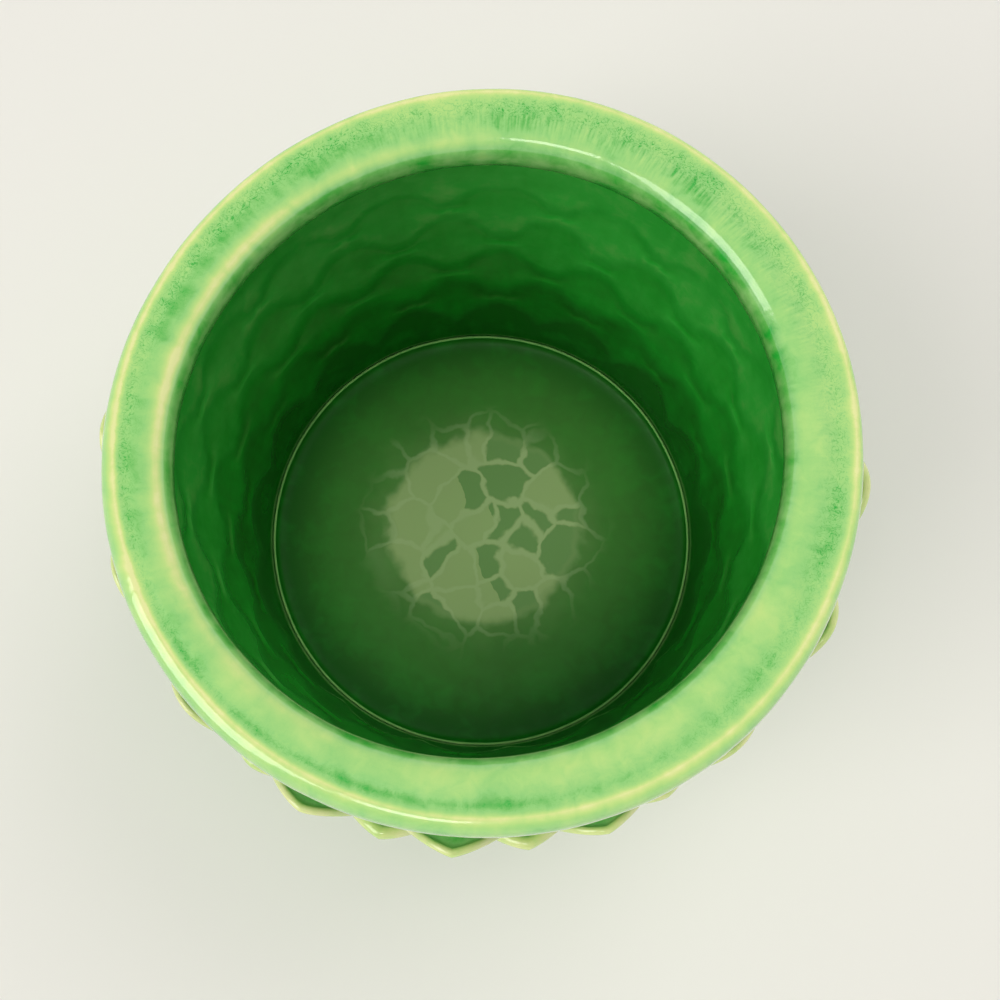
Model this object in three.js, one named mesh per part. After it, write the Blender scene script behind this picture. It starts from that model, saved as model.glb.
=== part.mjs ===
import * as THREE from 'three';

// A glazed earthenware planter, in millimetres, standing on z = 0 with its axis on Z.
// A tapering wall carries five courses of overlapping scales that point upwards, sixteen
// to a course, and each course is turned half a scale from the one above it. A broad
// rolled rim closes the top, and the pot stands on a turned foot ring.

// Overall
const planterHeight = 150;
const mouthRadius = 77;         // clear opening inside the lip
const slipGap = 0.3;            // joint between two pieces of clay

// Wall
const wallThickness = 5;
const boreTaper = 12;           // how much narrower the bore is at the floor
const shoulderDrop = 32;        // depth below the top where the taper starts
const footBandHeight = 16;      // plain band under the lowest course
const echoDepth = 0.5;          // relief that the scales leave in the bore
const echoDrop = 15;            // the echo of a scale lies this much below its tip

// Rim
const rimHeight = 14;
const lipOverhang = 7;          // lip over the wall's inner face
const rimOverhang = 6;          // roll over the wall's outer face
const grooveDepth = 1.5;        // how far the wall's edge enters the rim
const lipDrop = 5;              // lip's edge below the top
const rollDrop = 5.5;           // widest line of the roll below the top
const outerCrestInset = 2.6;
const innerCrestInset = 6;
const dishDepth = 0.9;          // hollow between the two crests

// Floor and foot ring
const flangeThickness = 5;      // floor under the wall
const floorRise = 2.5;          // floor's face above its flange
const upstandRise = 2.7;        // raised edge that stands inside the wall
const upstandWidth = 1.2;
const coveWidth = 3;
const heelInset = 7;
const footRingHeight = 4;
const footRingWidth = 8;
const footRingInset = 1;
const footBevel = 0.8;
const registerDepth = 1;        // boss under the floor that centres the foot ring

// Scales
const courseCount = 5;
const scalesPerCourse = 16;
const firstTipDrop = 19;        // tips of the top course below the planter's top
const courseShrink = 0.93;      // height of each course as a share of the one above
const bandThickness = 2.2;      // collar that joins a course's scales
const tipStand = 12.8;          // tip of a scale from the wall
const valleyStand = 4.8;        // edge of a scale from the wall, where two scales meet
const valleyDepth = 0.88;       // how far two scales are parted, as a share of a course
const archPower = 2;            // sharpness of the pointed arch
const flarePower = 1.4;         // how late the face turns outwards to its lip
const lipThickness = 1;
const shelfDrop = 1.6;          // hollow behind a tip

// Facets
const wallColumnsPerScale = 4;
const scaleColumns = 6;
const curveSteps = 3;
const lipShare = 0.08;          // lip's height as a share of a scale's face
const faceSteps = [0.7, 0.35, lipShare];   // points up a scale's face, as shares from its edge

// Radii that follow from the opening
const boreTopRadius = mouthRadius + lipOverhang;
const boreFootRadius = boreTopRadius - boreTaper;
const wallTopRadius = boreTopRadius + wallThickness;
const rimRadius = wallTopRadius + rimOverhang;
const bandStand = slipGap + bandThickness;

// Heights, from the foot upwards
const floorSeat = footRingHeight + flangeThickness;
const floorTop = floorSeat + floorRise;
const upstandTop = floorTop + upstandRise;
const ledgeHeight = floorSeat + footBandHeight;
const rimSeat = planterHeight - rimHeight;
const wallTop = rimSeat + grooveDepth;
const wallColumns = wallColumnsPerScale * scalesPerCourse;

const { lerp, smoothstep } = THREE.MathUtils;
const point = (radius, height) => new THREE.Vector2(radius, height);

// Levels of the tips from the top course down. A scale starts at its own level, is covered
// one level down by the next course's tips, and its collar ends two levels down.
function courseLevelList() {
  const steps = courseCount + 1;
  const span = planterHeight - firstTipDrop - ledgeHeight;
  const firstStep = span * (1 - courseShrink) / (1 - courseShrink ** steps);
  const levels = [planterHeight - firstTipDrop];
  for (let i = 0; i < steps; i++) levels.push(levels[i] - firstStep * courseShrink ** i);
  return levels;
}

const courseLevels = courseLevelList();

// Height at a place counted in courses, 0 at the top course's tips
function heightAtCourse(course) {
  const above = Math.floor(course);
  const below = Math.min(above + 1, courseLevels.length - 1);
  return lerp(courseLevels[above], courseLevels[below], course - above);
}

function boreRadius(height) {
  const share = smoothstep(height, 0, planterHeight - shoulderDrop);
  return boreFootRadius + boreTaper * share;
}

// Outer face of the wall, straight from one course level to the next
function wallRadius(height) {
  const above = courseLevels.findLastIndex((level) => level >= height);
  const below = Math.min(above + 1, courseLevels.length - 1);
  const step = courseLevels[above] - courseLevels[below] || 1;
  const share = (courseLevels[above] - height) / step;
  return wallThickness + lerp(boreRadius(courseLevels[above]), boreRadius(courseLevels[below]), share);
}

const footBandRadius = wallRadius(ledgeHeight) + bandStand;

function finish(color, roughness) {
  return new THREE.MeshStandardMaterial({ color, roughness, metalness: 0 });
}

function namedMesh(name, geometry, material) {
  const mesh = new THREE.Mesh(geometry, material);
  mesh.name = name;
  return mesh;
}

// A section turned round the axis, the same all the way round
function turned(section) {
  return new THREE.LatheGeometry(section, wallColumns).rotateX(Math.PI / 2);
}

// A closed section carried round the axis, which may differ from one column to the next
function carriedRound(columns, sectionAt) {
  const positions = [];
  const faces = [];
  let count = 0;
  for (let column = 0; column < columns; column++) {
    const angle = 2 * Math.PI * column / columns;
    const section = sectionAt(column, angle);
    count = section.length;
    for (const { x, y } of section) positions.push(x * Math.cos(angle), x * Math.sin(angle), y);
  }
  for (let column = 0; column < columns; column++) {
    const here = column * count;
    const next = (column + 1) % columns * count;
    for (let i = 0; i < count; i++) {
      const up = (i + 1) % count;
      faces.push(here + i, next + i, here + up, next + i, next + up, here + up);
    }
  }
  const geometry = new THREE.BufferGeometry();
  geometry.setAttribute('position', new THREE.Float32BufferAttribute(positions, 3));
  geometry.setIndex(faces);
  geometry.computeVertexNormals();
  return geometry;
}

// Foot ring, bevelled where it meets the table
function footRing() {
  const outer = footBandRadius - heelInset - footRingInset;
  const inner = outer - footRingWidth;
  const section = [
    point(inner, footBevel),
    point(inner + footBevel, 0),
    point(outer - footBevel, 0),
    point(outer, footBevel),
    point(outer, footRingHeight),
    point(inner, footRingHeight),
    point(inner, footBevel),
  ];
  return namedMesh('foot_ring', turned(section), finish('#b98d66', 0.9));
}

// Base slab: a boss that centres the foot ring, a rounded heel, the flange that carries the
// wall, and a raised edge inside the wall with a cove down to the flat floor
function floor() {
  const heel = footBandRadius - heelInset;
  const boss = heel - footRingInset - footRingWidth - slipGap;
  const upstand = boreRadius(upstandTop) - slipGap;
  const crest = upstand - upstandWidth;
  const path = new THREE.Path();
  path.moveTo(0, footRingHeight - registerDepth);
  path.lineTo(boss, footRingHeight - registerDepth);
  path.lineTo(boss, footRingHeight);
  path.lineTo(heel, footRingHeight);
  path.quadraticCurveTo(footBandRadius, footRingHeight, footBandRadius, floorSeat);
  path.lineTo(upstand, floorSeat);
  path.lineTo(upstand, upstandTop);
  path.lineTo(crest, upstandTop);
  path.quadraticCurveTo(crest, floorTop, crest - coveWidth, floorTop);
  path.lineTo(0, floorTop);
  return namedMesh('floor', turned(path.getPoints(curveSteps)), finish('#2f6626', 0.18));
}

// Depth of the echo in the bore, which swells behind each scale and stands in at each tip
function echo(course, angle) {
  const fadesIn = smoothstep(course, 0, 1);
  const fadesOut = 1 - smoothstep(course, courseCount - 1, courseCount);
  const pattern = -Math.cos(Math.PI * course) * Math.cos(scalesPerCourse * angle);
  return echoDepth * pattern * fadesIn * fadesOut;
}

// Wall: plain foot band with the ledge for the lowest course, then the face that the collars
// slide over, and the bore
function wall() {
  const outside = courseLevels.map((level) => point(wallRadius(level), level)).reverse();
  const section = (column, angle) => {
    const bore = [];
    for (let course = 0.5; course < courseCount; course += 0.5) {
      const height = heightAtCourse(course) - echoDrop;
      bore.push(point(boreRadius(height) + echo(course, angle), height));
    }
    return [
      point(boreRadius(upstandTop), floorSeat),
      point(footBandRadius, floorSeat),
      point(footBandRadius, ledgeHeight),
      ...outside,
      point(wallTopRadius, wallTop),
      point(boreTopRadius, wallTop),
      ...bore,
      point(boreRadius(upstandTop), upstandTop),
    ];
  };
  return namedMesh('wall', carriedRound(wallColumns, section), finish('#23752a', 0.2));
}

// Rim: a roll over the wall's outer face, two crests with a shallow dish between them, and
// a lip over the bore. The groove in its underside takes the wall's edge.
function rim() {
  const underRoll = rimRadius - rimOverhang / 2;
  const underLip = mouthRadius + lipOverhang / 2;
  const outerCrest = rimRadius - outerCrestInset;
  const innerCrest = mouthRadius + innerCrestInset;
  const dishMiddle = (outerCrest + innerCrest) / 2;
  const path = new THREE.Path();
  path.moveTo(wallTopRadius + slipGap, rimSeat);
  path.lineTo(underRoll, rimSeat);
  path.quadraticCurveTo(rimRadius, rimSeat, rimRadius, planterHeight - rollDrop);
  path.quadraticCurveTo(rimRadius, planterHeight, outerCrest, planterHeight);
  path.quadraticCurveTo(dishMiddle, planterHeight - 2 * dishDepth, innerCrest, planterHeight);
  path.quadraticCurveTo(mouthRadius, planterHeight, mouthRadius, planterHeight - lipDrop);
  path.quadraticCurveTo(mouthRadius, rimSeat, underLip, rimSeat);
  path.lineTo(boreTopRadius - slipGap, rimSeat);
  path.lineTo(boreTopRadius - slipGap, wallTop);
  path.lineTo(wallTopRadius + slipGap, wallTop);
  path.closePath();
  return namedMesh('rim', turned(path.getPoints(curveSteps)), finish('#86c873', 0.15));
}

// Height of a course's edge, from its tip (side 0) down to where two scales meet (side 1)
function edgeHeight(course, side) {
  const [tip, seat] = courseLevels.slice(course, course + 2);
  return lerp(tip, seat, valleyDepth * side ** archPower);
}

// Section through a course. A scale's face runs from its lip down to the edge of the course
// below, whose scales stand half a scale further round.
function scaleSection(course, side) {
  const [, seat, foot] = courseLevels.slice(course, course + 3);
  const edge = edgeHeight(course, side);
  const faceFoot = lerp(seat, foot, valleyDepth * (1 - side) ** archPower);
  const stand = lerp(tipStand, valleyStand, side ** 2);
  const back = course === 0 ? slipGap : bandStand + slipGap;
  const at = (offset, height) => point(wallRadius(height) + offset, height);
  const face = faceSteps.map((share) => {
    const flare = ((1 - share) / (1 - lipShare)) ** flarePower;
    return at(lerp(bandStand, stand, flare), lerp(edge, faceFoot, share));
  });
  const section = [
    at(slipGap, foot),
    at(bandStand, foot),
    at(bandStand, faceFoot),
    ...face,
    at(stand - lipThickness, edge),
    at(back, edge - shelfDrop * (1 - side)),
    at(back, seat),
  ];
  if (course > 0) section.push(at(slipGap, seat));
  return section;
}

// One course: a collar round the wall that carries sixteen scales. Below the top course the
// scales stand clear over the collar above.
function scaleCourse(course) {
  const turn = course % 2 * scaleColumns / 2;
  const half = scaleColumns / 2;
  const section = (column) => {
    const fromTip = (column + turn) % scaleColumns;
    return scaleSection(course, Math.min(fromTip, scaleColumns - fromTip) / half);
  };
  const geometry = carriedRound(scaleColumns * scalesPerCourse, section);
  return namedMesh('scale_row_' + (course + 1), geometry, finish('#5aa552', 0.2));
}

const planter = new THREE.Group();
planter.add(footRing(), floor(), wall(), rim());
for (let course = 0; course < courseCount; course++) planter.add(scaleCourse(course));

export default planter;
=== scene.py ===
import math

import bmesh
import bpy
import numpy as np
from mathutils import Matrix, Vector, noise


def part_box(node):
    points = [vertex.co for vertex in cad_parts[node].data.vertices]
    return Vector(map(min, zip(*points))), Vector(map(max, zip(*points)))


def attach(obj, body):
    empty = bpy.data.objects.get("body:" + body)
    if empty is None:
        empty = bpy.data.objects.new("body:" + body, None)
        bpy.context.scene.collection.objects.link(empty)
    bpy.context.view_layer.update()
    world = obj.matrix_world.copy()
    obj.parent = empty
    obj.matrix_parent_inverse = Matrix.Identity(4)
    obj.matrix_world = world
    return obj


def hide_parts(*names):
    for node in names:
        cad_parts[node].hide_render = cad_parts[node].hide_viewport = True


# A green-glazed earthenware planter: a broad rolled rim, a deep bore with the soft echo of
# its scales, and five courses of upward-pointing scales round the outside.
# Sizes are in millimetres, angles in degrees anticlockwise from +X, seen from above.

mm = 0.001
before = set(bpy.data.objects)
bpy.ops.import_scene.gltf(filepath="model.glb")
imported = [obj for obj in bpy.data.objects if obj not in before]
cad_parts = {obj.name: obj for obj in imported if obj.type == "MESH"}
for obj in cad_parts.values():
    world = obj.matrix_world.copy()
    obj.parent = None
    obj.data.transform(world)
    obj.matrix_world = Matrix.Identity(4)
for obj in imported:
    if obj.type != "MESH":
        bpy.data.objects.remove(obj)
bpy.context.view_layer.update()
print("frame loaded:", len(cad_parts), "nodes")


# Sizes that the frame gives

def nodeSpan(node):
    low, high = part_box(node)
    return low / mm, high / mm


courseCount = 5
rimLow, rimHigh = nodeSpan("rim")
wallLow, wallHigh = nodeSpan("wall")
floorLow, floorHigh = nodeSpan("floor")
footHigh = nodeSpan("foot_ring")[1]
rowSpans = [nodeSpan(f"scale_row_{course + 1}") for course in range(courseCount)]

potHeight = rimHigh.z
rimRadius = rimHigh.x
rimSeat = rimLow.z
neckRadius = wallHigh.x            # outside of the wall under the rim
bandRadius = floorHigh.x           # plain band at the wall's foot
tipRadius = rowSpans[0][1].x
courseLevels = [high.z for low, high in rowSpans] + [low.z for low, high in rowSpans[-2:]]

pot = {
    "wallThickness": 5.0,
    "boreTaper": 12.0,             # how much narrower the bore is at the floor
    "shoulderHeight": 118.0,       # the taper starts here
    "floorTop": 11.5,
    "scalesPerCourse": 16,
    "viewerSide": -86.0,           # side of the pot that faced the viewer
}

boreTop = neckRadius - pot["wallThickness"]
boreFoot = boreTop - pot["boreTaper"]


# Small helpers

def mix(a, b, share):
    return a + (b - a) * share


def ease(value, low, high):
    share = np.clip((value - low) / (high - low), 0, 1)
    return share * share * (3 - 2 * share)


def bell(value, centre, width):
    return np.exp(-((value - centre) / width) ** 2)


def facing(angle, side, sharpness=1.0):      # 1 on that side of the pot, 0 opposite it
    turn = math.radians(side)
    return (0.5 + 0.5 * np.cos(angle - turn)) ** sharpness


def wander(angle, waves):          # slow unevenness round the pot, from (waves, side, mm)
    return sum(size * np.cos(count * (angle - math.radians(side))) for count, side, size in waves)


def bend(start, corner, end, steps):         # quadratic curve, without its last point
    share = (np.arange(steps) / steps)[:, None]
    start, corner, end = (np.array(p, float) for p in (start, corner, end))
    return start * (1 - share) ** 2 + corner * 2 * share * (1 - share) + end * share ** 2


def soften(points, rounds):                  # rounds the corners of a section, ends kept
    points = points.copy()
    for _ in range(rounds):
        points[1:-1] = points[1:-1] / 2 + (points[:-2] + points[2:]) / 4
    return points


def boreRadius(height):
    return boreFoot + pot["boreTaper"] * ease(height, 0, pot["shoulderHeight"])


def wallRadius(height):                      # straight from one course level to the next
    levels = courseLevels[::-1]
    return pot["wallThickness"] + np.interp(height, levels, [boreRadius(z) for z in levels])


# A section carries its radius and height and four marks that the glaze reads:
# glaze is 0 where it has run thin over an edge and 1 where it has pooled,
# along is the way down the surface, grain and streak say where the glaze broke up in firing.

marks = ("glaze", "along", "grain", "streak")


def sectionOf(points, glaze, grain=0.35, streak=0.0, along=None):
    steps = np.linalg.norm(np.diff(points, axis=0), axis=1)
    way = np.concatenate([[0], np.cumsum(steps)]) if along is None else along
    columns = [points[:, 0], points[:, 1], glaze, way, grain, streak]
    return np.stack([np.broadcast_to(c, len(points)) for c in columns], axis=1)


hand = {
    "lean": 0.30,                  # slow unevenness of the moulding
    "leanSize": 70.0,
    "ripple": 0.10,                # small unevenness of the surface
    "rippleSize": 14.0,
    "rippleShift": (9, 4, 2),      # so that the two don't run together
    "stillReach": 1.0,             # nothing moves this near the axis
}


def handMade(mesh):                # one field for the whole pot, so its pieces stay together
    for vertex in mesh.vertices:
        spot = vertex.co / mm
        reach = math.hypot(spot.x, spot.y)
        if reach < hand["stillReach"]:
            continue
        slow = noise.noise(spot / hand["leanSize"])
        quick = noise.noise(spot / hand["rippleSize"] + Vector(hand["rippleShift"]))
        shift = (hand["lean"] * slow + hand["ripple"] * quick) * min(reach / boreFoot, 1)
        fitted = min(reach + shift, tipRadius) / reach
        vertex.co.x *= fitted
        vertex.co.y *= fitted


def loft(name, columns, sectionAt, closed=True, sweep=360.0, start=0.0):
    whole = sweep > 359
    angles = [math.radians(start + sweep * i / columns) for i in range(columns + (not whole))]
    sections = [sectionAt(angle) for angle in angles]
    count = len(sections[0])
    places = [(row[0] * math.cos(a) * mm, row[0] * math.sin(a) * mm, row[1] * mm)
              for a, section in zip(angles, sections) for row in section]
    faces = []
    for column in range(columns):
        here = column * count
        there = (column + 1) % len(angles) * count
        for i in range(count if closed else count - 1):
            up = (i + 1) % count
            faces.append((here + i, there + i, there + up, here + up))
    mesh = bpy.data.meshes.new(name)
    mesh.from_pydata(places, [], faces)
    table = np.concatenate(sections)
    for column, mark in enumerate(marks):
        layer = mesh.attributes.new(mark, "FLOAT", "POINT")
        layer.data.foreach_set("value", table[:, 2 + column].astype(np.float32))
    return mesh


poleGap = 0.001 * mm
keptEdge = 55.0


def finished(mesh):                # closed poles, smooth faces, the hand's unevenness
    work = bmesh.new()
    work.from_mesh(mesh)
    bmesh.ops.remove_doubles(work, verts=work.verts, dist=poleGap)
    work.to_mesh(mesh)
    work.free()
    handMade(mesh)
    mesh.shade_smooth()
    mesh.set_sharp_from_angle(angle=math.radians(keptEdge))
    return mesh


def place(name, mesh, material, node):
    mesh.name = name
    if material.name not in mesh.materials:
        mesh.materials.append(material)
    piece = bpy.data.objects.new(name, mesh)
    bpy.context.scene.collection.objects.link(piece)
    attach(piece, "root")
    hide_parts(node)
    print(name, "made:", len(mesh.polygons), "faces")
    return piece


# Materials

def linear(hexColour):
    parts = [int(hexColour[i:i + 2], 16) / 255 for i in (1, 3, 5)]
    return [p / 12.92 if p <= 0.04045 else ((p + 0.055) / 1.055) ** 2.4 for p in parts] + [1]


def addNode(tree, kind, values=None, links=None, stops=None, **settings):
    node = tree.nodes.new(kind)
    for name, value in settings.items():
        setattr(node, name, value)
    for socket, value in (values or {}).items():
        node.inputs[socket].default_value = value
    for socket, source in (links or {}).items():
        tree.links.new(source, node.inputs[socket])
    if stops:
        ramp = node.color_ramp
        while len(ramp.elements) < len(stops):
            ramp.elements.new(0.5)
        for element, (position, colour) in zip(ramp.elements, stops):
            element.position = position
            element.color = linear(colour)
    return node


def newMaterial(name):
    material = bpy.data.materials.new(name)
    material.use_nodes = True
    tree = material.node_tree
    tree.nodes.clear()
    shader = addNode(tree, "ShaderNodeBsdfPrincipled")
    addNode(tree, "ShaderNodeOutputMaterial", links={"Surface": shader.outputs[0]})
    return material, tree, shader


def perMetre(size):                          # a pattern's scale from its size in millimetres
    return 1 / (size * mm)


glazeLook = {
    "colours": [                   # from bare over an edge to pooled in a hollow
        (0.00, "#DEE29C"),
        (0.10, "#D0DE8C"),
        (0.22, "#BCDB80"),
        (0.38, "#A4D47A"),
        (0.54, "#8BCA72"),
        (0.68, "#5EB450"),
        (0.75, "#2EAC3A"),
        (0.84, "#169B28"),
        (1.00, "#106A14"),
    ],
    "cloudSize": 16.0,             # slow change of the glaze's depth
    "cloudShare": 0.10,
    "blotchSize": 4.5,
    "blotchTwist": 0.6,
    "blotchShare": 0.08,
    "grainSize": 1.8,              # mottled spots in the dish of the rim
    "grainTwist": 1.6,
    "grainShare": 0.06,
    "wormSize": 1.9,               # short winding lines where the glaze crawled
    "wormTwist": 2.0,
    "wormWidth": 0.06,
    "wormShare": -0.09,
    "streakWidth": 0.7,            # runs of glaze, far longer than they are wide
    "streakLength": 6.0,
    "streakShare": 0.13,
    "runWidth": 5.0,               # faint broad runs everywhere
    "runLength": 40.0,
    "runShare": 0.06,
    "peelSize": 3.2,               # orange peel of the fired surface
    "peelHeight": 0.05,
    "grainHeight": 0.05,
    "roughness": (0.10, 0.22),
    "coat": 1.0,
    "coatRoughness": 0.05,
    "specular": 0.5,
    "ior": 1.5,                    # of glaze, which is a glass
}


def addThickness(tree, look):
    # Lead-type glaze: deep where it pooled, pale clay shining through where it ran thin
    coords = addNode(tree, "ShaderNodeTexCoord").outputs["Object"]
    read = {m: addNode(tree, "ShaderNodeAttribute", attribute_name=m).outputs["Fac"] for m in marks}
    flat = addNode(tree, "ShaderNodeVectorMath", {1: (1, 1, 0)}, {0: coords}, operation="MULTIPLY")
    outward = addNode(tree, "ShaderNodeVectorMath", links={0: flat.outputs[0]}, operation="NORMALIZE")

    def runsOf(width, length, detail):       # noise drawn out down the surface
        down = addNode(tree, "ShaderNodeMath", {1: mm * width / length}, {0: read["along"]},
                       operation="MULTIPLY")
        drop = addNode(tree, "ShaderNodeCombineXYZ", links={"Z": down.outputs[0]})
        flow = addNode(tree, "ShaderNodeVectorMath", {1: (boreTop * mm,) * 3},
                       {0: outward.outputs[0], 2: drop.outputs[0]}, operation="MULTIPLY_ADD")
        return addNode(tree, "ShaderNodeTexNoise", {"Scale": perMetre(width), "Detail": detail},
                       {"Vector": flow.outputs[0]}).outputs[0]

    def spotsOf(size, detail, distortion=0.0):
        return addNode(tree, "ShaderNodeTexNoise",
                       {"Scale": perMetre(size), "Detail": detail, "Distortion": distortion},
                       {"Vector": coords}).outputs[0]

    def varied(depth, pattern, share, mask=None):
        swing = addNode(tree, "ShaderNodeMapRange",
                        {"From Min": 0.25, "From Max": 0.75, "To Min": -share, "To Max": share},
                        {"Value": pattern}).outputs[0]
        if mask is None:
            return addNode(tree, "ShaderNodeMath", links={0: depth, 1: swing},
                           operation="ADD").outputs[0]
        return addNode(tree, "ShaderNodeMath", links={0: swing, 1: mask, 2: depth},
                       operation="MULTIPLY_ADD").outputs[0]

    grain = spotsOf(look["grainSize"], 3, look["grainTwist"])
    level = addNode(tree, "ShaderNodeMath", {1: 0.5},
                    {0: spotsOf(look["wormSize"], 1, look["wormTwist"])}, operation="SUBTRACT")
    ridge = addNode(tree, "ShaderNodeMath", links={0: level.outputs[0]}, operation="ABSOLUTE")
    worm = addNode(tree, "ShaderNodeMapRange", {"From Max": look["wormWidth"]},
                   {"Value": ridge.outputs[0]}, interpolation_type="SMOOTHSTEP").outputs[0]
    depth = varied(read["glaze"], spotsOf(look["cloudSize"], 2), look["cloudShare"])
    depth = varied(depth, spotsOf(look["blotchSize"], 2, look["blotchTwist"]), look["blotchShare"])
    depth = varied(depth, runsOf(look["runWidth"], look["runLength"], 2), look["runShare"])
    depth = varied(depth, runsOf(look["streakWidth"], look["streakLength"], 1),
                   look["streakShare"], read["streak"])
    depth = varied(depth, grain, look["grainShare"], read["grain"])
    depth = varied(depth, worm, look["wormShare"], read["grain"])
    return coords, read, grain, spotsOf, depth


def addGloss(tree, shader, look, colour, read, grain, spotsOf):
    low, high = look["roughness"]
    rough = addNode(tree, "ShaderNodeMapRange",
                    {"From Min": 0.3, "From Max": 0.7, "To Min": low, "To Max": high},
                    {"Value": spotsOf(look["blotchSize"], 3)})
    peel = addNode(tree, "ShaderNodeMath", {1: look["peelHeight"]},
                   {0: spotsOf(look["peelSize"], 1)}, operation="MULTIPLY")
    crumb = addNode(tree, "ShaderNodeMath", links={0: grain, 1: read["grain"]},
                    operation="MULTIPLY")
    relief = addNode(tree, "ShaderNodeMath", {1: look["grainHeight"]},
                     {0: crumb.outputs[0], 2: peel.outputs[0]}, operation="MULTIPLY_ADD")
    bump = addNode(tree, "ShaderNodeBump", {"Strength": 1.0, "Distance": mm},
                   {"Height": relief.outputs[0]})
    tree.links.new(colour, shader.inputs["Base Color"])
    tree.links.new(rough.outputs[0], shader.inputs["Roughness"])
    tree.links.new(bump.outputs[0], shader.inputs["Normal"])
    tree.links.new(bump.outputs[0], shader.inputs["Coat Normal"])
    shader.inputs["IOR"].default_value = look["ior"]
    shader.inputs["Coat Weight"].default_value = look["coat"]
    shader.inputs["Coat Roughness"].default_value = look["coatRoughness"]
    shader.inputs["Coat IOR"].default_value = look["ior"]
    shader.inputs["Specular IOR Level"].default_value = look["specular"]


def glazedEarthenware(name, **changes):
    look = {**glazeLook, **changes}
    material, tree, shader = newMaterial(name)
    coords, read, grain, spotsOf, depth = addThickness(tree, look)
    ramp = addNode(tree, "ShaderNodeValToRGB", links={"Fac": depth}, stops=look["colours"])
    addGloss(tree, shader, look, ramp.outputs[0], read, grain, spotsOf)
    return material


# Rim: a roll over the wall, two crests with a dish between them, and a lip over the bore

rim = {
    "columns": 480,
    "steps": 14,
    "mouthInset": 18.1,            # lip's edge in from the widest line
    "lipDrop": 6.5,
    "rollDrop": 5.5,
    "outerCrestInset": 1.7,
    "frontCrestShift": 2.8,        # the outer crest lies further in at the front
    "leftCrestShift": 1.7,         # and a little on the left
    "innerCrestInset": 8.0,
    # out of round by the hand and the fire
    "outerWander": [(1, -30, 1.0), (2, 60, 0.8), (3, -46, 0.55)],
    "mouthWander": [(1, 170, 0.4), (2, 54, 1.05), (3, 70, 0.3)],
    "dishDepth": 0.32,
    "frontDishShift": 0.8,
    "underRoll": 3.0,
    "underLip": 3.5,
    "fillet": 4.0,                 # glaze that gathers where the rim meets the wall
    "filletSink": 0.4,             # its ends lie this deep in the wall
    "hiddenInset": 2.0,
    "crestSoftening": 5,
    # sides of the pot, and how narrow the stretch is that each one's marks take
    "front": (pot["viewerSide"], 2.0),
    "left": (169.0, 3.5),
    "leftCrest": (208.0, 5.0),
    "back": (69.0, 6.0),
    # depth of the glaze at the stations along the section, from the wall outside to the bore
    "glaze": [(0, 1.0), (1, 0.88), (1.7, 0.62), (2.35, 0.48), (2.7, 0.38), (2.88, 0.18),
              (3.0, 0.08), (3.07, 0.20), (3.16, 0.40), (3.3, 0.52), (3.5, 0.57), (3.7, 0.57),
              (3.85, 0.55), (4.05, 0.51), (4.2, 0.49), (4.35, 0.48), (4.45, 0.52), (4.55, 0.60),
              (4.7, 0.64), (4.88, 0.62), (4.97, 0.62), (5.03, 0.66), (5.12, 0.70), (5.4, 0.70),
              (6, 0.72), (8, 0.78)],
    # where it differs on one side: side, change of depth, middle and spread in stations
    "patches": [
        ("left", -0.50, 4.43, 0.17),         # nearly bare over the mouth's shoulder
        ("left", -0.12, 3.06, 0.18),         # thinner over the outer crest, and paler still as a painted highlight of the key lamp
        ("left", 0.09, 4.0, 0.25),           # deeper between the two, partly painted shade against the key lamp's light on this side
        ("front", -0.13, 4.15, 0.4),         # paler over the whole inner half
        ("front", 0.06, 3.55, 0.14),         # gathered in the middle of the dish
    ],
    "grainBand": (3.5, 0.36),      # middle and spread of the mottled band, in stations
    "grainElsewhere": 0.1,
    "frontCalm": 0.9,              # it is nearly gone at the front
    "streakBand": (3.95, 0.28),
}


def rimSection(angle):
    share = {side: float(facing(angle, *rim[side]))
             for side in ("front", "left", "leftCrest", "back")}
    front = share["front"]
    top = potHeight
    widest = rimRadius + wander(angle, rim["outerWander"])
    mouth = rimRadius - rim["mouthInset"] + wander(angle, rim["mouthWander"])
    outerCrest = widest - rim["outerCrestInset"] - rim["frontCrestShift"] * front
    outerCrest -= rim["leftCrestShift"] * share["leftCrest"]
    innerCrest = mouth + rim["innerCrestInset"]
    dish = ((outerCrest + innerCrest) / 2 + rim["frontDishShift"] * front,
            top - 2 * rim["dishDepth"])
    underRoll = widest - rim["underRoll"]
    underLip = mouth + rim["underLip"]
    low = rimSeat - rim["fillet"]
    sink, inset = rim["filletSink"], rim["hiddenInset"]
    steps = rim["steps"]
    path = np.concatenate([
        bend((neckRadius - sink, low), (neckRadius, rimSeat), (underRoll, rimSeat), steps),
        bend((underRoll, rimSeat), (widest, rimSeat), (widest, top - rim["rollDrop"]), steps),
        bend((widest, top - rim["rollDrop"]), (widest, top), (outerCrest, top), steps),
        bend((outerCrest, top), dish, (innerCrest, top), steps),
        bend((innerCrest, top), (mouth, top), (mouth, top - rim["lipDrop"]), steps),
        bend((mouth, top - rim["lipDrop"]), (mouth, rimSeat), (underLip, rimSeat), steps),
        bend((underLip, rimSeat), (boreTop, rimSeat), (boreTop + sink, low), steps),
        [(boreTop + sink, low)],
    ])
    station = np.arange(len(path)) / steps
    path = soften(path, rim["crestSoftening"])
    knots = np.array(rim["glaze"])
    glaze = np.interp(station, knots[:, 0], knots[:, 1])
    for side, change, middle, spread in rim["patches"]:
        glaze = glaze + change * share[side] * bell(station, middle, spread)
    grain = bell(station, *rim["grainBand"]) * (1 - rim["frontCalm"] * front)
    grain = grain + rim["grainElsewhere"]
    streak = bell(station, *rim["streakBand"]) * share["back"]
    section = sectionOf(path, glaze, grain, streak)
    hidden = sectionOf(np.array([(boreTop + inset, low), (neckRadius - inset, low)]), 1.0)
    return np.concatenate([section, hidden])


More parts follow.
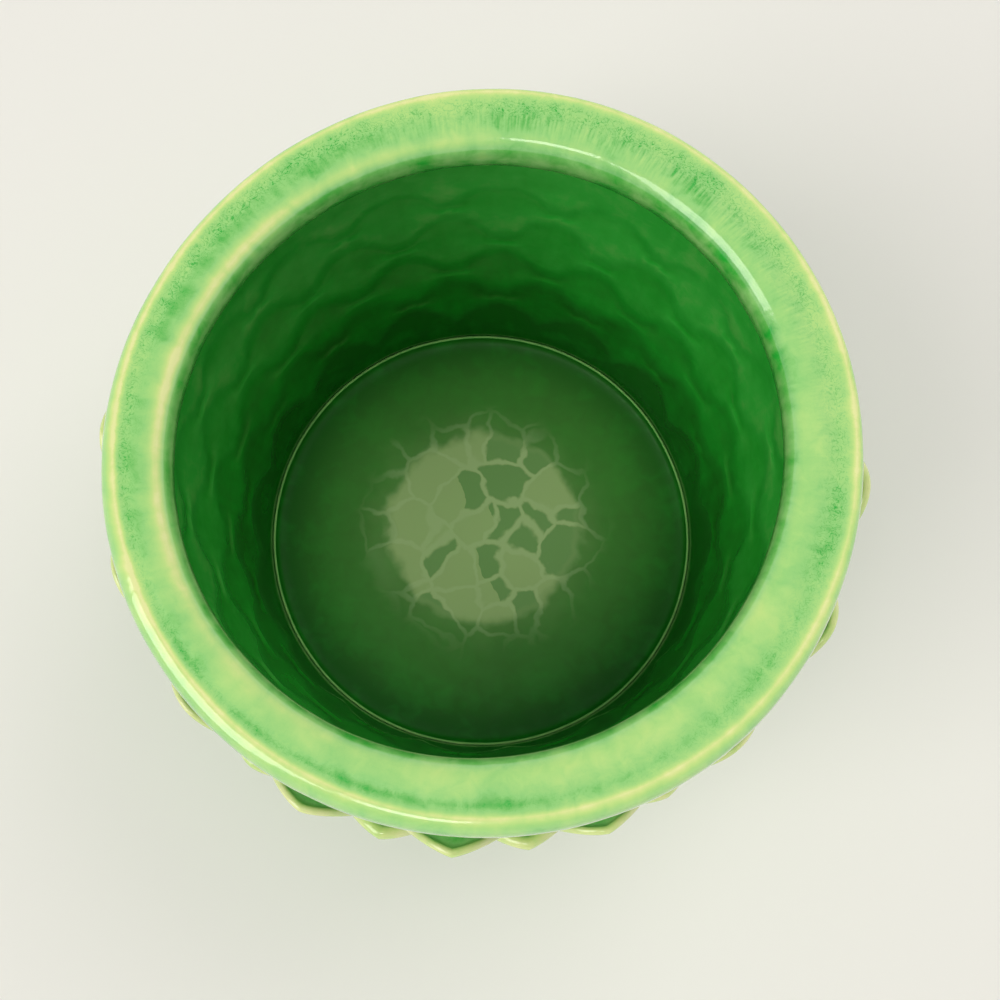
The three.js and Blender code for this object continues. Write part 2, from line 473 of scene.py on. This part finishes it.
rimMaterial = glazedEarthenware("leadGlazeOnRim")
place("glazedRim", finished(loft("rim", rim["columns"], rimSection)), rimMaterial, "rim")


# Wall: a plain foot band outside, a neck under the rim, and a bore that echoes the scales

wall = {
    "columns": 400,
    "boreStep": 1.0,               # between two rows of the bore's faces
    "echoDepth": 0.22,
    "echoDrop": 15.0,              # the echo of a scale lies this much below its tip
    "echoStep": 9.0,               # height of the soft step along an echo's arch
    "echoGlaze": 0.035,            # the glaze is this much deeper in its hollows
    "plainFoot": (16.0, 34.0),     # the echo fades out here
    "plainTop": (108.0, 117.0),
    "ringHeight": 14.0,
    # moulded line over the foot band: how far below its ledge, and how far in
    "bandGroove": [(2.4, 0.0), (1.6, 0.1), (0.8, 0.42), (0.0, 0.7)],
    "bandGlaze": (0.52, 0.74),     # at its foot and at its ledge
    "neckGlaze": 0.85,
    # the bore grows darker towards the floor: painted shade of the deep bore, given as deeper glaze
    "glazeAtTop": 0.76,
    "shadedGlazeAtFoot": 1.0,
    "glazeTopHeight": 110.0,
}

boreLook = {
    "cloudShare": 0.04,
    "blotchShare": 0.02,
    "runShare": 0.02,
    "coat": 0.06,
    "peelHeight": 0.01,
    "grainHeight": 0.0,
    "specular": 0.25,
}

scale = {
    "columns": 30,                 # across one scale
    "valleyDepth": 0.88,           # how far two scales are parted, as a share of a course
    "archPower": 2.0,              # sharpness of the pointed arch
    "bandStand": 2.5,              # collar between the scales, from the wall
    "tipStand": 10.4,
    "secondStand": 0.7,            # the second course stands out this much further
    # how much further each tip of a course stands out than that, anticlockwise from +X
    "tipChange": [2.2, 2.0, 0.8, 0, 0, 0, 0, 0.2, 0.8, 0.1, -0.3, 1.2, 1.9, 1.1, -0.7, 1.2],
    "lowerShare": 0.4,             # of that change in the courses below the second
    "tipPower": (1.15, 2.4),       # sharpness of the tips at the viewer's side, and elsewhere
    "bluntSide": (pot["viewerSide"], 3.0),
    "valleyStand": 4.8,
    "flarePower": 1.4,             # how late the face turns outwards to its lip
    "lipShare": 0.08,
    "lipRadius": (0.95, 1.45),     # of the top course, and of the others
    "shelfDrop": 2.3,              # hollow behind a tip
    "valleyShelfDrop": 0.8,
    "climb": 1.3,                  # glaze creeps this far up the face behind
    "wallSink": 0.8,               # collar and hollow end this deep in what lies behind
    "faceSteps": 26,
    "faceCrowding": 1.5,           # the face's rows lie closer together near the lip
    "beadSteps": 9,
    "shelfSteps": 10,
    "mergeGap": 0.02,              # neighbouring scales are welded up to this gap
    "collarGlaze": (0.85, 0.74),   # and of the lowest collar, over the foot band
    "faceGlaze": (0.16, 0.54),     # at the lip, and below it
    "faceFade": 3.5,
    "poolGlaze": 0.36,             # more of it at the face's foot
    "valleyGlaze": 0.18,           # and between two scales
    "lipGlaze": [(0, 0.20), (1, 0.08), (2.2, 0.12), (3.2, 0.36)],
    "shelfGlaze": [(0, 0.36), (0.25, 0.66), (0.5, 0.88), (0.8, 0.94), (1, 0.88)],
}


def sideOf(angle, course):                   # 0 at a tip of that course, 1 between two tips
    half = math.pi / pot["scalesPerCourse"]
    fromTip = (angle + (course % 2) * half + half) % (2 * half) - half
    return abs(fromTip) / half


def edgeHeight(course, side):
    tip, seat = courseLevels[course], courseLevels[course + 1]
    return mix(tip, seat, scale["valleyDepth"] * side ** scale["archPower"])


def faceFoot(course, side):                  # where the face meets the course below
    seat, foot = courseLevels[course + 1], courseLevels[course + 2]
    return mix(seat, foot, scale["valleyDepth"] * (1 - side) ** scale["archPower"])


def boreEcho(angle, heights):
    arches = [wall["ringHeight"]]
    for course in range(courseCount)[::-1]:
        arch = edgeHeight(course, sideOf(angle, course)) - wall["echoDrop"]
        arches.append(max(arch, arches[-1] + wall["echoStep"]))
    knotHeights, knotDepths = [], []
    for arch in arches:
        knotHeights += [arch - wall["echoStep"] / 2, arch + wall["echoStep"] / 2]
        knotDepths += [1.0, -1.0]
    shape = np.sin(np.interp(heights, knotHeights, knotDepths) * math.pi / 2)
    return shape * ease(heights, *wall["plainFoot"]) * (1 - ease(heights, *wall["plainTop"]))


def wallSection(angle):
    ledge = courseLevels[-1]
    outside = [(boreFoot + 2, wallLow.z), (bandRadius, wallLow.z), (bandRadius, wallLow.z + 4),
               (bandRadius, ledge - 6)]
    outside += [(bandRadius - inward, ledge - below) for below, inward in wall["bandGroove"]]
    outside += [(float(wallRadius(z)), z) for z in courseLevels[::-1]]
    outside += [(neckRadius, rimSeat - 3), (neckRadius, rimSeat + 1)]
    outside = np.array(outside)
    heightsOut = outside[:, 1]
    outerGlaze = mix(*wall["bandGlaze"], ease(heightsOut, wallLow.z, ledge))
    atNeck = ease(heightsOut, courseLevels[1], courseLevels[0])
    outerGlaze = mix(outerGlaze, wall["neckGlaze"], atNeck)
    rows = int((rimSeat - wall["ringHeight"]) / wall["boreStep"])
    heights = np.linspace(rimSeat + 1, wall["ringHeight"], rows)
    echo = boreEcho(angle, heights)
    bore = np.stack([boreRadius(heights) + wall["echoDepth"] * echo, heights], axis=1)
    # darker lower down: painted shade of the deep bore
    upwards = ease(heights, wall["ringHeight"], wall["glazeTopHeight"])
    depth = mix(wall["shadedGlazeAtFoot"], wall["glazeAtTop"], upwards) + wall["echoGlaze"] * echo
    return np.concatenate([
        sectionOf(outside, outerGlaze, 0.1, along=-outside[:, 1]),
        sectionOf(bore, depth, 0.05, along=-heights),
    ])


boreMaterial = glazedEarthenware("leadGlazeInBore", **boreLook)
place("glazedWall", finished(loft("wall", wall["columns"], wallSection)), boreMaterial, "wall")


# Floor: a base slab with a rounded heel, and inside a bead, a cove and the flat floor

base = {
    "columns": 240,
    "heelInset": 7.0,
    "bossInset": 1.2,              # glazed underside enters the foot ring by this much
    "beadRadius": 0.45,
    "beadOut": 72.0,               # middle of the pale bead where the wall begins
    "beadHeight": 13.6,
    "beadTurn": (-20, 190),
    "beadSteps": 10,
    "coveFoot": 66.8,
    "coveSteps": 12,
    "flatRings": 14,
    "undersideGlaze": 0.5,
    "heelGlaze": (0.42, 0.66),
    "riseGlaze": 0.6,
    "beadGlaze": [(0, 0.98), (3, 0.5), (6, 0.5), (9, 0.98)],
    "flatGlaze": (0.94, 1.0),      # inside and outside of the next stretch
    "flatGlazeReach": (54.0, 66.0),
}


def baseSection(angle):
    heel = bandRadius - base["heelInset"]
    seat, under = wallLow.z, footHigh.z
    ring = footRing["inner"] + base["bossInset"]
    top = pot["floorTop"]
    bead = (base["beadOut"], base["beadHeight"])
    turns = np.radians(np.linspace(*base["beadTurn"], base["beadSteps"]))
    beadArc = np.stack([bead[0] + base["beadRadius"] * np.cos(turns),
                        bead[1] + base["beadRadius"] * np.sin(turns)], axis=1)
    cove = bend(tuple(beadArc[-1]), (beadArc[-1][0] - 0.2, top), (base["coveFoot"], top),
                base["coveSteps"])
    flat = np.linspace(base["coveFoot"], 0, base["flatRings"])
    underside = np.array([(0, floorLow.z), (ring * 0.5, floorLow.z), (ring - 3, floorLow.z),
                          (ring, floorLow.z), (ring + 0.3, under + 0.2), (heel - 1.6, under + 0.2),
                          (heel - 0.8, under)])
    heelArc = bend((heel, under), (bandRadius, under), (bandRadius, seat), 10)
    rise = np.array([(bandRadius, seat), (boreFoot + 3, seat), (boreFoot + 1, seat + 1),
                     (boreFoot + 0.9, bead[1] - 0.6)])
    flatPoints = np.stack([flat, np.full(len(flat), top)], axis=1)
    heelGlaze = np.linspace(*base["heelGlaze"], len(heelArc))
    beadGlaze = np.interp(np.arange(base["beadSteps"]), *zip(*base["beadGlaze"]))
    flatGlaze = mix(*base["flatGlaze"], ease(flat, *base["flatGlazeReach"]))
    return np.concatenate([
        sectionOf(underside, base["undersideGlaze"], 0.1, along=underside[:, 0]),
        sectionOf(heelArc, heelGlaze, 0.1, along=heelArc[:, 0]),
        sectionOf(rise, base["riseGlaze"]),
        sectionOf(beadArc, beadGlaze),
        sectionOf(cove, 1.0, 0.0),
        sectionOf(flatPoints, flatGlaze, 0.0, along=-flat),
    ])


# Foot ring: turned, wiped free of glaze

footRing = {
    "columns": 240,
    "width": 8.0,
    "bevel": 0.9,
    "sink": 0.5,                   # its top lies this deep in the floor slab
}
footRing["outer"] = footHigh.x
footRing["inner"] = footHigh.x - footRing["width"]


def footSection(angle):
    inner, outer, bevel = footRing["inner"], footRing["outer"], footRing["bevel"]
    top = footHigh.z + footRing["sink"]
    path = np.concatenate([
        bend((inner, bevel), (inner, 0), (inner + bevel, 0), 5),
        bend((inner + bevel, 0), (mix(inner, outer, 0.5), 0), (outer - bevel, 0), 4),
        bend((outer - bevel, 0), (outer, 0), (outer, bevel), 5),
        [(outer, bevel), (outer, top), (inner, top)],
    ])
    return sectionOf(path, 0.0)


floorLook = {
    "reflectionCentre": (0.3, 3.0),      # middle of the painted reflection
    "reflectionRadius": 33.0,
    "reflectionEdge": 2.5,
    "reflectionHazeRadius": 38.0,            # a fainter painted reflection round it
    "reflectionHazeEdge": 9.0,
    # a painted pool of light over the middle of the floor
    "litPoolRadius": 60.0,
    "litPoolEdge": 18.0,
    "cellSize": 14.0,
    "cellCore": (0.03, 0.09),      # a cell darkens between these distances from its edge
    "cellLine": (0.08, 0.02),      # and is outlined between these
    "wholeSide": -6.0,             # the painted reflection is whole on this side of the parting, in mm
    "brokenSide": 4.0,
    "partingTurn": 70.0,
    "brokenChance": (0.14, 0.78),  # share of open cells on either side of it
    "slowWarp": (16.0, 12.0),      # size and reach of the bends in the film
    "quickWarp": (4.0, 2.4),
    "coveredDepth": 3.0,           # nothing further below the floor's top has the painted reflection
    # colour and strength of each layer
    "paintedLitPool": ("#5A9642", 0.68),
    "reflectionHaze": ("#C8DC9A", 0.14),
    "paintedReflection": ("#C8DC9A", 0.72),
    "core": ("#78A860", 0.85),
    "line": ("#CFE2AC", 0.34),
}

floorGlaze = {
    "cloudShare": 0.05,
    "blotchShare": 0.04,
    "runShare": 0.0,
    "coat": 0.0,
    "roughness": (0.34, 0.5),
    "specular": 0.16,
}


def floorWithPaintedReflection(name):
    # The same glaze, dull, under a painted pool of light and a painted reflection of the room
    # overhead: pale and cracked into cells
    look = {**glazeLook, **floorGlaze}
    paintedReflection = floorLook
    material, tree, shader = newMaterial(name)
    coords, read, grain, spotsOf, depth = addThickness(tree, look)
    ramp = addNode(tree, "ShaderNodeValToRGB", links={"Fac": depth}, stops=look["colours"])
    x, y = paintedReflection["reflectionCentre"]
    centred = addNode(tree, "ShaderNodeMapping",
                      {"Location": (-x * mm, -y * mm, 0), "Scale": (1, 1, 0)},
                      {"Vector": coords}).outputs[0]

    def warped(vector, size, reach):
        bent = addNode(tree, "ShaderNodeTexNoise", {"Scale": perMetre(size), "Detail": 2},
                       {"Vector": centred})
        shift = addNode(tree, "ShaderNodeVectorMath", {1: (0.5, 0.5, 0.5)},
                        {0: bent.outputs["Color"]}, operation="SUBTRACT")
        return addNode(tree, "ShaderNodeVectorMath", {1: (reach * mm, reach * mm, 0)},
                       {0: shift.outputs[0], 2: vector}, operation="MULTIPLY_ADD").outputs[0]

    def fading(value, low, high):
        return addNode(tree, "ShaderNodeMapRange", {"From Min": low, "From Max": high},
                       {"Value": value}, interpolation_type="SMOOTHSTEP").outputs[0]

    def disc(vector, radius, edge):
        reach = addNode(tree, "ShaderNodeVectorMath", links={0: vector}, operation="LENGTH")
        return fading(reach.outputs["Value"], (radius + edge) * mm, (radius - edge) * mm)

    def times(a, b):
        return addNode(tree, "ShaderNodeMath", links={0: a, 1: b}, operation="MULTIPLY").outputs[0]

    def tinted(mask, below, colour, share):
        weight = addNode(tree, "ShaderNodeMath", {1: share}, {0: mask}, operation="MULTIPLY")
        blend = addNode(tree, "ShaderNodeMix", {7: linear(colour)},
                        {0: weight.outputs[0], 6: below}, data_type="RGBA")
        return blend.outputs[2]

    # painted reflection of the room overhead: a pale patch cracked into cells, with a fainter one
    # round it
    bent = warped(warped(centred, *paintedReflection["slowWarp"]), *paintedReflection["quickWarp"])
    edges = addNode(tree, "ShaderNodeTexVoronoi", {"Scale": perMetre(paintedReflection["cellSize"])},
                    {"Vector": bent}, feature="DISTANCE_TO_EDGE")
    cells = addNode(tree, "ShaderNodeTexVoronoi", {"Scale": perMetre(paintedReflection["cellSize"])},
                    {"Vector": bent})
    inCell = fading(edges.outputs["Distance"], *paintedReflection["cellCore"])
    chance = addNode(tree, "ShaderNodeSeparateColor", links={"Color": cells.outputs["Color"]})
    turn = math.radians(paintedReflection["partingTurn"])
    across = addNode(tree, "ShaderNodeVectorMath", {1: (math.sin(turn), math.cos(turn), 0)},
                     {0: bent}, operation="DOT_PRODUCT")
    wanted = addNode(tree, "ShaderNodeMapRange",
                     {"From Min": paintedReflection["wholeSide"] * mm, "From Max": paintedReflection["brokenSide"] * mm,
                      "To Min": paintedReflection["brokenChance"][0], "To Max": paintedReflection["brokenChance"][1]},
                     {"Value": across.outputs["Value"]})
    broken = addNode(tree, "ShaderNodeMath", links={0: chance.outputs[0], 1: wanted.outputs[0]},
                     operation="LESS_THAN").outputs[0]
    outline = fading(edges.outputs["Distance"], *paintedReflection["cellLine"])
    patch = disc(bent, paintedReflection["reflectionRadius"], paintedReflection["reflectionEdge"])
    reflectionHaze = disc(bent, paintedReflection["reflectionHazeRadius"], paintedReflection["reflectionHazeEdge"])
    # painted pool of light over the middle of the floor, under the painted reflection
    colour = tinted(disc(centred, paintedReflection["litPoolRadius"], paintedReflection["litPoolEdge"]), ramp.outputs[0],
                    *paintedReflection["paintedLitPool"])
    colour = tinted(reflectionHaze, colour, *paintedReflection["reflectionHaze"])
    colour = tinted(patch, colour, *paintedReflection["paintedReflection"])
    colour = tinted(times(patch, times(broken, inCell)), colour, *paintedReflection["core"])
    colour = tinted(times(reflectionHaze, outline), colour, *paintedReflection["line"])
    height = addNode(tree, "ShaderNodeSeparateXYZ", links={0: coords}).outputs["Z"]
    lowest = pot["floorTop"] - paintedReflection["coveredDepth"]
    inside = addNode(tree, "ShaderNodeMath", {1: lowest * mm}, {0: height},
                     operation="GREATER_THAN").outputs[0]
    final = addNode(tree, "ShaderNodeMix", links={0: inside, 6: ramp.outputs[0], 7: colour},
                    data_type="RGBA")
    addGloss(tree, shader, look, final.outputs[2], read, grain, spotsOf)
    return material


place("glazedBase", finished(loft("base", base["columns"], baseSection, closed=False)),
      floorWithPaintedReflection("leadGlazeOnFloor"), "floor")


clayLook = {
    "cloudSize": 18.0,
    "grogSize": 0.7,
    "grogShare": 0.45,
    "grogHeight": 0.12,
    "roughness": 0.86,
    "colours": [(0.45, "#8F6A48"), (0.62, "#B88E67"), (0.75, "#CBA47C"), (0.9, "#DDBF9C")],
}


def bareEarthenware(name):
    # Unglazed fired clay: dry, warm buff, with fine grog and a dull surface
    material, tree, shader = newMaterial(name)
    coords = addNode(tree, "ShaderNodeTexCoord").outputs["Object"]
    clouds = addNode(tree, "ShaderNodeTexNoise",
                     {"Scale": perMetre(clayLook["cloudSize"]), "Detail": 4}, {"Vector": coords})
    grog = addNode(tree, "ShaderNodeTexNoise",
                   {"Scale": perMetre(clayLook["grogSize"]), "Detail": 3}, {"Vector": coords})
    both = addNode(tree, "ShaderNodeMath", {1: clayLook["grogShare"]},
                   {0: grog.outputs[0], 2: clouds.outputs[0]}, operation="MULTIPLY_ADD")
    ramp = addNode(tree, "ShaderNodeValToRGB", links={"Fac": both.outputs[0]},
                   stops=clayLook["colours"])
    bump = addNode(tree, "ShaderNodeBump",
                   {"Strength": 1.0, "Distance": clayLook["grogHeight"] * mm},
                   {"Height": grog.outputs[0]})
    tree.links.new(ramp.outputs[0], shader.inputs["Base Color"])
    tree.links.new(bump.outputs[0], shader.inputs["Normal"])
    shader.inputs["Roughness"].default_value = clayLook["roughness"]
    return material


place("footRing", finished(loft("foot", footRing["columns"], footSection)),
      bareEarthenware("unglazedBuffClay"), "foot_ring")


# Scales: one scale of a course is built here and carried round the pot by Geometry Nodes

def standAt(side):
    return mix(scale["tipStand"], scale["valleyStand"], side ** scale["tipPower"][0])


def faceOffset(course, side, height):        # how far a course's face stands from the wall
    if course < 0:
        return 0.0
    edge = edgeHeight(course, side)
    share = np.clip((height - edge) / (faceFoot(course, side) - edge), 0, 1)
    flare = np.minimum((1 - share) / (1 - scale["lipShare"]), 1) ** scale["flarePower"]
    return mix(scale["bandStand"], standAt(side), flare)


def scaleSection(course, angle):
    side = sideOf(angle, 0)                  # the tile's own tip lies on +X
    seat, foot = courseLevels[course + 1], courseLevels[course + 2]
    edge = edgeHeight(course, side)
    stand = standAt(side)
    back = 0.0 if course == 0 else scale["bandStand"]
    bead = min(scale["lipRadius"][course > 0], (stand - back) / 3)
    last = course == courseCount - 1
    sink = scale["wallSink"]

    def outward(offsets, heights):
        return np.stack([wallRadius(heights) + offsets, heights], axis=1)

    footTop = foot + (0.6 if last else 0)
    collarStand = scale["bandStand"]
    collar = outward(np.array([-sink, collarStand - 0.9, collarStand - 0.2, collarStand]),
                     np.array([foot - 0.4, foot - 0.4, foot, footTop + 0.1]))
    shares = np.linspace(1, 0, scale["faceSteps"]) ** scale["faceCrowding"]
    centre = edge - bead
    heights = mix(centre - 0.1, max(faceFoot(course, side), footTop + 0.3), shares)
    face = outward(faceOffset(course, side, heights), heights)
    hub = (float(wallRadius(centre)) + stand - bead, centre)
    turns = np.radians(np.linspace(0, 185, scale["beadSteps"]))
    lip = np.stack([hub[0] + bead * np.cos(turns), hub[1] + bead * np.sin(turns)], axis=1)
    drop = mix(scale["shelfDrop"], scale["valleyShelfDrop"], side)
    climbTo = edge + scale["climb"]
    above = float(wallRadius(climbTo) + faceOffset(course - 1, 1 - side, climbTo)) + 0.05
    start, end = lip[-1], np.array((above, climbTo))
    down = np.array((start[0] - 0.1, edge - bead - drop * 1.1))
    curl = np.array((max(above, float(wallRadius(edge)) + back) + 0.15, edge - bead - drop * 1.1))
    share = (np.arange(1, scale["shelfSteps"] + 1) / scale["shelfSteps"])[:, None]
    shelf = (start * (1 - share) ** 3 + down * 3 * share * (1 - share) ** 2
             + curl * 3 * share ** 2 * (1 - share) + end * share ** 3)
    behind = outward(np.array([back - sink, back - sink, -sink]),
                     np.array([edge - drop, seat, seat - 0.5]))

    faceGlaze = mix(*scale["faceGlaze"], ease(centre - face[:, 1], 0, scale["faceFade"]))
    faceGlaze = faceGlaze + scale["poolGlaze"] * ease(shares, 0.55, 1.0)
    faceGlaze = faceGlaze + scale["valleyGlaze"] * side ** 3
    lipGlaze = np.interp(turns, *zip(*scale["lipGlaze"]))
    shelfGlaze = np.interp(share[:, 0], *zip(*scale["shelfGlaze"]))
    return np.concatenate([
        sectionOf(collar, scale["collarGlaze"][last], along=-collar[:, 1]),
        sectionOf(face, faceGlaze, 0.2, along=-face[:, 1]),
        sectionOf(lip, lipGlaze, 0.1, along=-lip[:, 1]),
        sectionOf(shelf, shelfGlaze, 0.2, along=-shelf[:, 1]),
        sectionOf(behind, 1.0, along=-behind[:, 1]),
    ])


def ringOfScalesTree():
    tree = bpy.data.node_groups.new("ringOfScales", "GeometryNodeTree")
    tree.is_modifier = True
    sockets = tree.interface
    sockets.new_socket("Scale", in_out="INPUT", socket_type="NodeSocketGeometry")
    inputs = {}
    for name, kind in (("Count", "Int"), ("First Tip", "Float"), ("Merge Gap", "Float"),
                       ("Glaze", "Material")):
        inputs[name] = sockets.new_socket(name, in_out="INPUT", socket_type="NodeSocket" + kind)
    sockets.new_socket("Ring", in_out="OUTPUT", socket_type="NodeSocketGeometry")
    given = addNode(tree, "NodeGroupInput").outputs
    points = addNode(tree, "GeometryNodePoints", links={"Count": given["Count"]})
    index = addNode(tree, "GeometryNodeInputIndex")
    step = addNode(tree, "ShaderNodeMath", {0: 2 * math.pi}, {1: given["Count"]}, operation="DIVIDE")
    turn = addNode(tree, "ShaderNodeMath", links={0: index.outputs[0], 1: step.outputs[0],
                                                  2: given["First Tip"]}, operation="MULTIPLY_ADD")
    spin = addNode(tree, "ShaderNodeCombineXYZ", links={"Z": turn.outputs[0]})
    copies = addNode(tree, "GeometryNodeInstanceOnPoints",
                     links={"Points": points.outputs[0], "Instance": given["Scale"],
                            "Rotation": spin.outputs[0]})
    real = addNode(tree, "GeometryNodeRealizeInstances", links={"Geometry": copies.outputs[0]})
    joined = addNode(tree, "GeometryNodeMergeByDistance",
                     links={"Geometry": real.outputs[0], "Distance": given["Merge Gap"]})
    coloured = addNode(tree, "GeometryNodeSetMaterial",
                       links={"Geometry": joined.outputs[0], "Material": given["Glaze"]})
    addNode(tree, "NodeGroupOutput", links={"Ring": coloured.outputs[0]})
    return tree, inputs


def ringMesh(name, tile, values):
    tree, inputs = ringTree
    carrier = bpy.data.objects.new(name, tile)
    bpy.context.scene.collection.objects.link(carrier)
    modifier = carrier.modifiers.new("ring", "NODES")
    modifier.node_group = tree
    for socket, value in values.items():
        modifier[inputs[socket].identifier] = value
    evaluated = carrier.evaluated_get(bpy.context.evaluated_depsgraph_get())
    mesh = bpy.data.meshes.new_from_object(evaluated)
    bpy.data.objects.remove(carrier)
    return mesh


def standUnevenly(mesh, course):             # each tip stands out as the hand left it
    change = scale["tipChange"] + scale["tipChange"][:1]
    turns = np.linspace(0, 2 * math.pi, len(change))
    share = 1.0 if course < 2 else scale["lowerShare"]
    more = scale["secondStand"] if course == 1 else 0.0
    for vertex in mesh.vertices:
        reach = math.hypot(vertex.co.x, vertex.co.y) / mm
        surface = float(wallRadius(vertex.co.z / mm)) + scale["bandStand"]
        if reach <= surface:
            continue
        angle = math.atan2(vertex.co.y, vertex.co.x)
        side = sideOf(angle, course)
        blunt = 1 - float(facing(angle, *scale["bluntSide"]))
        tip = scale["tipStand"] + more + share * np.interp(angle % (2 * math.pi), turns, change)
        stand = mix(tip, scale["valleyStand"], side ** mix(*scale["tipPower"], blunt))
        growth = (stand - scale["bandStand"]) / (standAt(side) - scale["bandStand"])
        fitted = surface + (reach - surface) * growth
        vertex.co.x *= fitted / reach
        vertex.co.y *= fitted / reach


ringTree = ringOfScalesTree()
scaleLook = {"runShare": 0.08, "cloudShare": 0.08}
scaleMaterial = glazedEarthenware("leadGlazeOnScales", **scaleLook)
pitch = 360 / pot["scalesPerCourse"]

for course in range(courseCount):
    tile = loft("scaleTile", scale["columns"], lambda angle: scaleSection(course, angle),
                sweep=pitch, start=-pitch / 2)
    ring = ringMesh("scaleRing", tile, {
        "Count": pot["scalesPerCourse"],
        "First Tip": math.radians(course % 2 * pitch / 2),
        "Merge Gap": scale["mergeGap"] * mm,
        "Glaze": scaleMaterial,
    })
    standUnevenly(ring, course)
    place(f"scaleRow{course + 1}", finished(ring), scaleMaterial, f"scale_row_{course + 1}")


# Studio: a pale floor that runs out into a pale sky, a soft key lamp from the viewer's left,
# a small one from the viewer's side, and two broad ones that fill the bore

studio = {
    "floorRadius": 6000.0,
    "floorColour": "#E8E6E2",
    "floorRoughness": 0.9,
    "floorSpecular": 0.2,
    "shadowReach": (450.0, 1300.0),          # the floor turns into the backdrop between these
    "horizonColour": "#F2F2F0",
    "zenithColour": "#A6A7A6",
    "skyHeights": (0.10, 0.75),    # the first colour up to here, the second from here
    "lampColour": "#FFFCF6",
    # power, width, height, distance, side of the pot, height above the horizon, and whether
    # it glints
    "key": (23.0, 1300.0, 1700.0, 2300.0, -148.0, 42.0, True),
    "window": (1.0, 260.0, 260.0, 1300.0, -103.0, 64.0, True),
    "fill": (4.0, 900.0, 900.0, 1500.0, -90.0, 84.0, False),
    "bounce": (5.5, 900.0, 900.0, 1400.0, 48.0, 52.0, False),
}


def studioFloor():
    radius = studio["floorRadius"] * mm
    circle = [(radius * math.cos(math.radians(a)), radius * math.sin(math.radians(a)), 0)
              for a in range(0, 360, 3)]
    mesh = bpy.data.meshes.new("studioFloor")
    mesh.from_pydata(circle, [], [tuple(range(len(circle)))])
    material, tree, shader = newMaterial("paleCard")
    shader.inputs["Base Color"].default_value = linear(studio["floorColour"])
    shader.inputs["Roughness"].default_value = studio["floorRoughness"]
    shader.inputs["Specular IOR Level"].default_value = studio["floorSpecular"]
    near, far = studio["shadowReach"]
    coords = addNode(tree, "ShaderNodeTexCoord").outputs["Object"]
    reach = addNode(tree, "ShaderNodeVectorMath", links={0: coords}, operation="LENGTH")
    away = addNode(tree, "ShaderNodeMapRange", {"From Min": near * mm, "From Max": far * mm},
                   {"Value": reach.outputs["Value"]}, interpolation_type="SMOOTHSTEP")
    rays = addNode(tree, "ShaderNodeLightPath")
    direct = addNode(tree, "ShaderNodeMath", links={0: rays.outputs["Is Camera Ray"],
                                                    1: rays.outputs["Is Glossy Ray"]},
                     operation="MAXIMUM")
    seen = addNode(tree, "ShaderNodeMath", links={0: direct.outputs[0],
                                                  1: rays.outputs["Is Transmission Ray"]},
                   operation="MAXIMUM")
    share = addNode(tree, "ShaderNodeMath", links={0: seen.outputs[0], 1: away.outputs[0]},
                    operation="MULTIPLY")
    pale = addNode(tree, "ShaderNodeEmission", {"Color": linear(studio["horizonColour"])})
    both = addNode(tree, "ShaderNodeMixShader", links={0: share.outputs[0], 1: shader.outputs[0],
                                                       2: pale.outputs[0]})
    tree.links.new(both.outputs[0], tree.nodes["Material Output"].inputs["Surface"])
    mesh.materials.append(material)
    card = bpy.data.objects.new("studioFloor", mesh)
    bpy.context.scene.collection.objects.link(card)


def studioSky():                             # pale at the horizon, dimmer overhead
    world = bpy.data.worlds.new("paleSky")
    world.use_nodes = True
    bpy.context.scene.world = world
    tree = world.node_tree
    tree.nodes.clear()
    coords = addNode(tree, "ShaderNodeTexCoord").outputs["Generated"]
    height = addNode(tree, "ShaderNodeSeparateXYZ", links={0: coords}).outputs["Z"]
    low, high = studio["skyHeights"]
    ramp = addNode(tree, "ShaderNodeValToRGB", links={"Fac": height}, stops=[
        (low, studio["horizonColour"]), (high, studio["zenithColour"])])
    sky = addNode(tree, "ShaderNodeBackground", {"Strength": 1.0}, {"Color": ramp.outputs[0]})
    addNode(tree, "ShaderNodeOutputWorld", links={"Surface": sky.outputs[0]})


def softLamp(name):
    power, width, tall, distance, side, height, glints = studio[name]
    lamp = bpy.data.lights.new(name + "Lamp", "AREA")
    lamp.energy = power
    lamp.shape = "RECTANGLE"
    lamp.size = width * mm
    lamp.size_y = tall * mm
    lamp.color = linear(studio["lampColour"])[:3]
    side, height = math.radians(side), math.radians(height)
    away = Vector((math.cos(side) * math.cos(height), math.sin(side) * math.cos(height),
                   math.sin(height)))
    holder = bpy.data.objects.new(name + "Lamp", lamp)
    holder.location = Vector((0, 0, potHeight * mm)) + away * distance * mm
    holder.rotation_euler = away.to_track_quat("Z", "Y").to_euler()
    holder.visible_glossy = glints
    bpy.context.scene.collection.objects.link(holder)


# Camera: nearly straight down, a little towards the viewer

view = {
    "lens": 46.8,
    "sensor": 36.0,
    "clipStart": 10.0,
    "right": -0.84,
    "back": 78.06,
    "aboveRim": 310.65,
    "pitch": 11.46,                # off the vertical
    "heading": 4.56,
    "roll": 4.65,
    "potTurn": 4.2,                # the pot's own +Y is turned this much from the picture's
}


def photoCamera():
    camera = bpy.data.cameras.new("photoCamera")
    camera.lens = view["lens"]
    camera.sensor_width = view["sensor"]
    camera.clip_start = view["clipStart"] * mm
    holder = bpy.data.objects.new("photoCamera", camera)
    turn = Matrix.Rotation(math.radians(view["potTurn"]), 4, "Z")
    stand = Matrix.Translation((view["right"] * mm, -view["back"] * mm,
                                (potHeight + view["aboveRim"]) * mm))
    look = (Matrix.Rotation(math.radians(-view["heading"]), 4, "Z")
            @ Matrix.Rotation(math.radians(view["pitch"]), 4, "X")
            @ Matrix.Rotation(math.radians(view["roll"]), 4, "Z"))
    holder.matrix_world = turn @ stand @ look
    bpy.context.scene.collection.objects.link(holder)
    bpy.context.scene.camera = holder


studioFloor()
studioSky()
for lampName in ("key", "window", "fill", "bounce"):
    softLamp(lampName)
photoCamera()
bpy.context.scene.view_settings.view_transform = "Standard"
print("studio ready")
